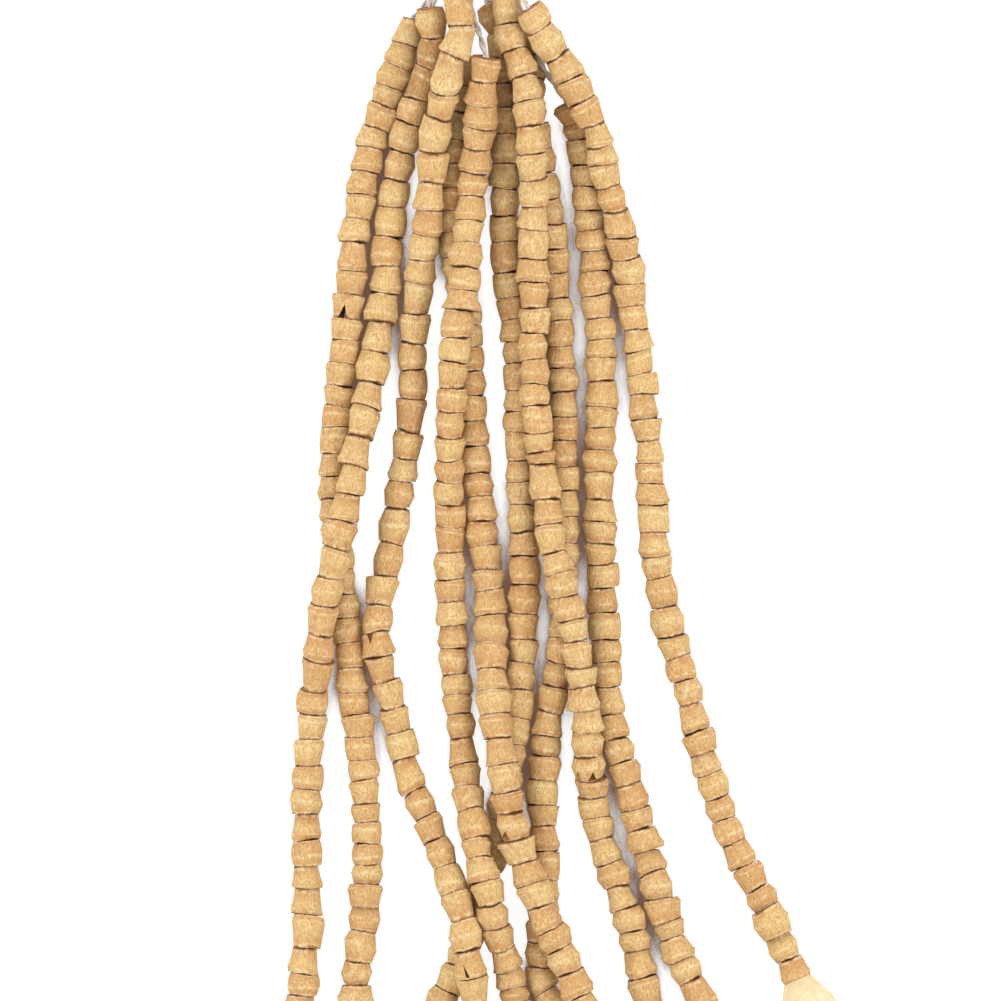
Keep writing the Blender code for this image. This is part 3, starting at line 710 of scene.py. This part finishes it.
def own_shape(form, width):
    """A bead's own corners, out of round, uneven and chipped, in its form's own directions."""
    shape = np.array([v.co for v in form.data.vertices])
    out = np.hypot(shape[:, 0], shape[:, 1])
    turn = np.arctan2(shape[:, 1], shape[:, 0])
    height = shape[:, 2]
    outside = out > HOLE_AND_A_LITTLE
    between = outside & (height > 2 * RIM) & (height < 1 - 2 * RIM)
    rim = outside & ~between
    leaning, lean_way, oval_way = draw(0, RIDGE_LEANS), draw(0, math.tau), draw(0, math.tau)
    uneven = np.array([chance.gauss(0, RIDGE_UNEVEN) for _ in out])
    part = height + (leaning * np.cos(turn - lean_way) + uneven) * between
    ridge = between & (np.abs(out - out.max()) < 0.01)
    dent = np.array([chance.gauss(0, DENTS) for _ in out]) * (outside + ridge)
    chip = np.array([chance.random() < CHIPPED for _ in out]) * rim
    ragged = np.array([chance.uniform(0, RAGGED) for _ in out]) * rim
    part = part + (chip * CHIP_DEPTH + ragged) * np.where(height < 0.5, 1, -1)
    radius = width / 2 * out * (1 + OVAL * np.cos(2 * turn - oval_way) + dent
                                - CHIP_INWARDS * chip)
    turn = turn + draw(0, math.tau)
    return radius * np.cos(turn), radius * np.sin(turn), np.clip(part, 0, 1), out, height


def give(bead, name, values):
    """A vector for each of a bead's corners, which its wood reads."""
    layer = bead.data.attributes.new(name, "FLOAT_VECTOR", "POINT")
    layer.data.foreach_set("vector", np.ascontiguousarray(values, float).ravel())


def bead_between(word, width, tone, upper, lower, upper_slant, lower_slant):
    """A copy of a form, fitted between the joints above and below it."""
    letter = word[0]
    form = forms[letter]
    bead = form.copy()
    bead.data = form.data.copy()
    scene.collection.objects.link(bead)
    axis = lower - upper
    length = np.linalg.norm(axis)
    axis = axis / length
    side = unit(np.cross(axis, (0, 0, 1)))
    up = np.cross(side, axis)
    x, y, part, out, height = own_shape(form, width)
    across = (x + draw(-0.35, 0.35) * MM)[:, None] * side + (y + draw(-0.1, 0.1) * MM)[:, None] * up
    top = -JOINT_OVERLAP / 2 - (across @ upper_slant) / (axis @ upper_slant)
    bottom = length + JOINT_OVERLAP / 2 - (across @ lower_slant) / (axis @ lower_slant)
    points = upper + across + axis * (top + part * (bottom - top))[:, None]
    points[:, 2] += max(0, -points[:, 2].min())
    bead.data.vertices.foreach_set("co", points.ravel())
    outline = BEAD_FORMS[letter]
    ridge = max(outline[1:-1], key=lambda spot: spot[1])[0]
    to_end = 1 - 2 * np.minimum(height, 1 - height)
    inner = out < HOLE_AND_A_LITTLE
    give(bead, "grain_place", np.column_stack([x, y, part * length]) / MM
         + np.array([draw(0, 60), draw(0, 60), draw(0, 60)]))
    pinkness_and_painted_shade, paleness, rustiness = tone
    band = ("^" in word) * (height < 0.3) + ("_" in word) * (height > 0.7)
    give(bead, "tone", np.column_stack([np.full(len(out), pinkness_and_painted_shade), paleness + 2 * band,
                                        rustiness * (1 - band)]))
    give(bead, "zone", np.column_stack([to_end, abs(height - ridge) < 0.02, inner]))
    return bead


# Split, notched and broken beads: the string, the bead's number on it, the three corners of the
# damaged spot as (across, down) in millimetres, and how far above the string's axis it ends.
DAMAGE = [
    ("4", 13, [(-37.2, 92.8), (-33.9, 92.8), (-34.6, 88.3)], -0.4),
    ("5", 32, [(3.4, 223.0), (6.8, 222.2), (5.3, 219.4)], 0.8),
    ("7", 32, [(22.2, 207.6), (24.6, 207.6), (23.3, 204.6)], 1.5),
    ("7", 32, [(25.5, 207.9), (28.5, 207.4), (27.2, 204.9)], 1.5),
    ("9", 24, [(-30.2, 169.2), (-27.0, 169.6), (-28.2, 174.0)], 1.6),
    ("9", 36, [(-5.6, 252.0), (-4.4, 256.6), (-3.2, 256.6)], 1.8),
]
DAMAGE_TAPER = 0.6          # a damaged spot's width at its bottom, as a part of that at its top
DAMAGE_REACH = 5.2          # from the string's axis to just above its beads, millimetres
WOOD_LAYERS = ("grain_place", "tone", "zone")
RAW_WOOD = ((7, 7, 7), (1, 0, 1), (0.8, 0, 0.3))    # those layers' values where a bead is broken


def rounded(piece):
    """Round a piece's forms off, and keep what its wood reads on the corners of its faces."""
    bpy.ops.object.select_all(action="DESELECT")
    piece.select_set(True)
    bpy.context.view_layer.objects.active = piece
    rounding = piece.modifiers.new("rounding", "SUBSURF")
    rounding.levels = rounding.render_levels = 1
    bpy.ops.object.modifier_apply(modifier=rounding.name)
    piece.data.shade_smooth()
    for layer in WOOD_LAYERS:
        piece.data.attributes.active = piece.data.attributes[layer]
        bpy.ops.geometry.attribute_convert(domain="CORNER", data_type="FLOAT_VECTOR")
    return piece


def damage(bead, corners, deep, axis_height):
    """Cut a tapering three-sided spot out of a bead from above, down to raw brown wood."""
    bpy.ops.object.select_all(action="DESELECT")
    bpy.ops.mesh.primitive_cylinder_add(vertices=3)
    cutter = bpy.context.object
    spots = np.array([place(*corner) for corner in corners])
    middle = spots.mean(0)
    for vertex in cutter.data.vertices:
        spot = spots[round(math.atan2(vertex.co.y, vertex.co.x) * 3 / math.tau) % 3]
        if vertex.co.z > 0:
            vertex.co = (*spot, axis_height + DAMAGE_REACH * MM)
        else:
            vertex.co = (*(middle + (spot - middle) * DAMAGE_TAPER), axis_height + deep * MM)
    bpy.ops.object.mode_set(mode="EDIT")
    bpy.ops.mesh.select_all(action="SELECT")
    bpy.ops.mesh.normals_make_consistent(inside=False)
    bpy.ops.object.mode_set(mode="OBJECT")
    for layer, value in zip(WOOD_LAYERS, RAW_WOOD):
        raw = cutter.data.attributes.new(layer, "FLOAT_VECTOR", "CORNER")
        raw.data.foreach_set("vector", value * len(cutter.data.loops))
    bpy.ops.object.select_all(action="DESELECT")
    bead.select_set(True)
    bpy.context.view_layer.objects.active = bead
    cut = bead.modifiers.new("damage", "BOOLEAN")
    cut.operation = "DIFFERENCE"
    cut.solver = "EXACT"
    cut.object = cutter
    bpy.ops.object.modifier_apply(modifier=cut.name)
    bpy.data.objects.remove(cutter)
    bpy.ops.object.shade_smooth_by_angle(angle=math.radians(50))


def string_of_beads(name, line):
    """The beads of one string, threaded close."""
    chart = BEAD_CHARTS[name].split()
    places, ways = joints_down(line, [int(word[1:].rstrip("+-*~!^_")) for word in chart])
    slants = [unit(way + SLANT * np.array([draw(-1, 1), draw(-1, 1), draw(-1, 1)])) for way in ways]
    whole, broken = [], []
    for k, word in enumerate(chart):
        width = BEAD_WIDTH * WIDER_STRINGS.get(name, 1) * draw(1 - WIDTHS_VARY, 1 + WIDTHS_VARY)
        width *= WIDE_MARK ** word.count("+") * SLIM_MARK ** word.count("-")
        pale = draw(PALE, 1) if "*" in word else draw(0, PALE)
        rusty = draw(RUSTY, 1) if "~" in word else draw(0, 1) ** 3 * RUSTY
        # a ! adds painted shade: the bead is drawn dark as if it lay under other strings
        warmth_and_painted_shade = draw(0, 1) + 2 * word.count("!")
        bead = bead_between(word, width, (warmth_and_painted_shade, pale, rusty), places[k], places[k + 1],
                            slants[k], slants[k + 1])
        spots = [spot for whose, number, *spot in DAMAGE if (whose, number) == (name, k + 1)]
        if spots:
            broken.append(rounded(bead))
        else:
            whole.append(bead)
        for corners, deep in spots:
            damage(bead, corners, deep, (places[k][2] + places[k + 1][2]) / 2)
    string = joined(f"wooden_beads_{name}", [rounded(joined("whole beads", whole)), *broken])
    string.data.materials.clear()
    string.data.materials.append(bead_wood)
    return string


bead_pieces = {}
for name, line in bead_lines.items():
    bead_pieces[name] = string_of_beads(name, line)
    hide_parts(f"bead_string_{name}")
    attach(bead_pieces[name], "root")
for form in forms.values():
    bpy.data.objects.remove(form)

# ---- End beads -----------------------------------------------------------------------------------
# One larger bead below each string, turned smooth in pale wood: a flat top, a straight flank and a
# ball. The thread's knot sits under its tip.
END_BEAD_WIDTH = 14.5 * MM
END_BEAD_TOP_WIDTH = 7.5 * MM
END_BEAD_FLARE = math.radians(25)
END_BEAD_TIP_WIDTH = 4 * MM
END_BEAD_HOLE = 2.4 * MM
END_BEAD_SIDES = 40


def end_bead_outline():
    """(length along the axis, radius) from the hole's upper rim round the bead to its lower rim."""
    ball = END_BEAD_WIDTH / 2
    flank = (ball * math.cos(END_BEAD_FLARE) - END_BEAD_TOP_WIDTH / 2) / math.tan(END_BEAD_FLARE)
    centre = flank + ball * math.sin(END_BEAD_FLARE)
    tip = math.acos(END_BEAD_TIP_WIDTH / 2 / ball)
    edge = 0.35 * MM
    top = [(0.5 * MM, END_BEAD_HOLE / 2), (0, END_BEAD_HOLE / 2 + edge),
           (0, END_BEAD_TOP_WIDTH / 2 - edge), (edge * 0.7, END_BEAD_TOP_WIDTH / 2 + edge * 0.1)]
    arc = np.linspace(-END_BEAD_FLARE, tip, 16)
    ball_part = [(centre + ball * math.sin(a), ball * math.cos(a)) for a in arc]
    length = ball_part[-1][0]
    return [*top, *ball_part, (length + 0.1 * MM, END_BEAD_HOLE / 2 + edge),
            (length - 0.5 * MM, END_BEAD_HOLE / 2)]


def smooth_wood(name):
    """Pale close-grained wood, turned smooth."""
    made = bpy.data.materials.new(name)
    made.use_nodes = True
    nodes, links = made.node_tree.nodes, made.node_tree.links
    shader = nodes["Principled BSDF"]
    shader.inputs["Roughness"].default_value = 0.55
    shader.inputs["Specular IOR Level"].default_value = 0.3
    where = nodes.new("ShaderNodeTexCoord")
    spread = nodes.new("ShaderNodeMapping")
    spread.inputs["Scale"].default_value = (1, 0.12, 1)
    links.new(where.outputs["Object"], spread.inputs["Vector"])
    grain = nodes.new("ShaderNodeTexNoise")
    grain.inputs["Scale"].default_value = 900
    grain.inputs["Detail"].default_value = 4
    links.new(spread.outputs["Vector"], grain.inputs["Vector"])
    tint = nodes.new("ShaderNodeValToRGB")
    tint.color_ramp.elements[0].position = 0.3
    tint.color_ramp.elements[0].color = (0.55, 0.42, 0.24, 1)
    tint.color_ramp.elements[1].position = 0.65
    tint.color_ramp.elements[1].color = (0.66, 0.53, 0.33, 1)
    links.new(grain.outputs["Fac"], tint.inputs["Fac"])
    links.new(tint.outputs["Color"], shader.inputs["Base Color"])
    bump = nodes.new("ShaderNodeBump")
    bump.inputs["Strength"].default_value = 0.25
    bump.inputs["Distance"].default_value = 0.05 * MM
    links.new(grain.outputs["Fac"], bump.inputs["Height"])
    links.new(bump.outputs["Normal"], shader.inputs["Normal"])
    return made


pale_wood = smooth_wood("smooth pale wood")


def end_bead(name, top, tip):
    bpy.ops.object.select_all(action="DESELECT")
    bpy.ops.mesh.primitive_circle_add(vertices=END_BEAD_SIDES, radius=END_BEAD_HOLE / 2)
    bead = bpy.context.object
    bead.name = bead.data.name = f"turned_end_bead_{name}"
    bpy.ops.object.mode_set(mode="EDIT")
    bpy.ops.mesh.select_all(action="SELECT")
    outline = end_bead_outline()
    length, radius = outline[0]
    bpy.ops.transform.translate(value=(0, 0, length))
    for to_length, to_radius in outline[1:]:
        grown = to_radius / radius
        bpy.ops.mesh.extrude_region_move()
        bpy.ops.transform.resize(value=(grown, grown, 1), center_override=(0, 0, 0))
        bpy.ops.transform.translate(value=(0, 0, to_length - length))
        length, radius = to_length, to_radius
    bpy.ops.mesh.select_all(action="DESELECT")
    bpy.ops.mesh.select_non_manifold()
    bpy.ops.mesh.bridge_edge_loops()
    bpy.ops.mesh.select_all(action="SELECT")
    bpy.ops.mesh.normals_make_consistent(inside=False)
    bpy.ops.object.mode_set(mode="OBJECT")
    axis = Vector(tip - top).normalized()
    bead.rotation_mode = "QUATERNION"
    bead.rotation_quaternion = axis.to_track_quat("Z", "Y")
    bead.location = top
    bpy.ops.object.transform_apply(location=True, rotation=True, scale=True)
    for corner in bead.data.vertices:
        corner.co.z = max(corner.co.z, 0)
    bead.data.materials.append(pale_wood)
    bpy.ops.object.shade_smooth_by_angle(angle=math.radians(35))
    return bead


KNOT_WIDTH = 3.2 * MM
KNOT_PULLED_IN = 0.62       # how tight the knot's bights are drawn
KNOT_STRAND_WIDTH = 1.25    # in it the doubled strands lie side by side, times one strand's width
KNOT_END_LENGTH = 5 * MM
KNOT_END_SPREADS = 1.6 * MM
KNOT_END_DROOPS = 1.5 * MM


def knot(name, top, tip):
    """A small overhand knot of the doubled thread, with its two cut ends."""
    ahead = unit(tip - top)
    side = unit(np.cross(ahead, (0, 0, 1)))
    up = np.cross(side, ahead)
    middle = tip + ahead * (KNOT_ROOM + 0.3 * MM)
    turn = np.linspace(0, math.tau, 40)
    size = KNOT_WIDTH / 2 - STRAND_WIDTH / 2
    tight = KNOT_PULLED_IN
    round_it = (size * np.sin(turn) + size * 0.9 * np.sin(2 * turn))[:, None] * tight * side
    round_it = round_it + (size * (np.cos(turn) - 0.8 * np.cos(2 * turn)) * tight)[:, None] * up
    round_it = round_it - (size * 0.8 * np.sin(3 * turn))[:, None] * ahead
    ball = tube(f"knot_{name}", middle + round_it, STRAND_WIDTH * KNOT_STRAND_WIDTH)
    ends = []
    for way in (-1, 1):
        reach = np.linspace(0, 1, 7)[:, None]
        end = middle + reach * (ahead * KNOT_END_LENGTH + side * way * KNOT_END_SPREADS)
        end = end - reach ** 2 * up * KNOT_END_DROOPS
        end[:, 2] = np.maximum(end[:, 2], STRAND_WIDTH / 2)
        ends.append(tube(f"knot_{name}_end", end, STRAND_WIDTH * 0.9))
    made = joined(f"knot_{name}", [ball, *ends])
    made.data.materials.clear()
    made.data.materials.append(thread_cotton)
    made.data.shade_smooth()
    return made


for name, (top, tip) in end_places.items():
    bead = end_bead(name, top, tip)
    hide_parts(f"end_bead_{name}")
    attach(bead, "root")
    knotted = knot(name, top, tip)
    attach(knotted, "root")
    piece = thread_pieces[name]
    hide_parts(f"thread_{name}")
    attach(piece, "root")
    line = threads[name]

# ---- Hanging loop --------------------------------------------------------------------------------
# The tassel hangs by a loop of three-ply cotton cord, both of whose ends are bound into the neck.
LOOP_CORD_WIDTH = 2.4 * MM
LOOP_FEET = 3.4 * MM
LOOP_LENGTH = 34 * MM
LOOP_WIDTH = 15 * MM
LOOP_TWIST = 8 * MM
LOOP_IN_NECK = 4 * MM
LOOP_STRAIGHT_OUT = (0.2 * MM, 3 * MM)              # from a foot: outwards, and along the loop
LOOP_SPREADS = ((0.62, 0.45), (0.95, 0.85))         # parts of its half width and straight length
LOOP_CROWN = (20, 55, 90, 125, 160)                 # points on its round end, degrees
LOOP_DESCENT = 14 * MM                              # the way along which it comes down to lie flat
PLY_WIDTH = 0.54                                    # parts of the cord's width
PLY_OFF_AXIS = 0.25
NECK_LENGTH = 12 * MM
neck_top = Vector((*place(0, -NECK_LENGTH / MM), NECK_HEIGHT))
half = LOOP_WIDTH / 2
straight = LOOP_LENGTH - half
foot = LOOP_FEET / 2
side = [(foot, -LOOP_IN_NECK), (foot, 0), (foot + LOOP_STRAIGHT_OUT[0], LOOP_STRAIGHT_OUT[1])]
side += [(half * out, straight * along) for out, along in LOOP_SPREADS]
crown = [(half * math.cos(a), straight + half * math.sin(a)) for a in np.radians(LOOP_CROWN)]
plan = curve_through(side + crown + [(-a, b) for a, b in reversed(side)], 1 * MM)
near = np.clip(plan[:, 1], 0, None)
level = np.clip(near / LOOP_DESCENT, 0, 1)
lowest = LOOP_CORD_WIDTH / 2
heights = lowest + (NECK_HEIGHT - lowest) * (1 - level) ** 2 * (1 + 2 * level)
loop_line = np.column_stack([neck_top.x + plan[:, 0], neck_top.y + plan[:, 1], heights])
loop = twisted("twisted_loop", loop_line, 3, LOOP_CORD_WIDTH * PLY_WIDTH,
               LOOP_CORD_WIDTH * PLY_OFF_AXIS, LOOP_TWIST)
loop.data.materials.clear()
loop.data.materials.append(thread_cotton)
loop.data.shade_smooth()
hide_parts("hanging_loop")
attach(loop, "root")

# ---- Neck binding --------------------------------------------------------------------------------
# The ten threads and the loop's ends are gathered and bound round and round with the same thread.
BINDING_WIDTH = 0.8 * MM
NECK_WIDTH = 11 * MM
TURN_SPACING = 1.02         # times the binding thread's width
TURNS_SINK_IN = 0.12 * MM   # some turns are pulled tighter than others
TURNS_STRAY = 0.08 * MM     # and stray along the neck
CORE_IN_TURNS = 0.75        # how far the core stands back from the neck's width, in thread widths
turns = round(NECK_LENGTH / BINDING_WIDTH / TURN_SPACING)
angle = np.linspace(0, turns * math.tau, turns * 24 + 1)
radius = NECK_WIDTH / 2 - BINDING_WIDTH / 2 - TURNS_SINK_IN * (1 + np.sin(angle * 0.37))
run = BINDING_WIDTH / 2 + (NECK_LENGTH - BINDING_WIDTH) * angle / angle[-1]
run = run + TURNS_STRAY * np.sin(angle * 0.61)
face = Vector((*place(0, 0), NECK_HEIGHT))
coil = np.column_stack([face.x + radius * np.cos(angle), face.y + run,
                        face.z + radius * np.sin(angle)])
binding = tube("neck_turns", coil, BINDING_WIDTH, sides=8)
bpy.ops.object.select_all(action="DESELECT")
bpy.ops.mesh.primitive_cylinder_add(vertices=32, depth=NECK_LENGTH - 0.6 * MM,
                                    radius=NECK_WIDTH / 2 - BINDING_WIDTH * CORE_IN_TURNS)
core = bpy.context.object
core.rotation_euler = (math.pi / 2, 0, 0)
core.location = face + Vector((0, NECK_LENGTH / 2, 0))
bpy.ops.object.transform_apply(location=True, rotation=True, scale=True)
bound = joined("bound_neck", [binding, core])
bound.data.materials.clear()
bound.data.materials.append(thread_cotton)
bpy.ops.object.shade_smooth_by_angle(angle=math.radians(40))
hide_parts("neck_binding")
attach(bound, "root")
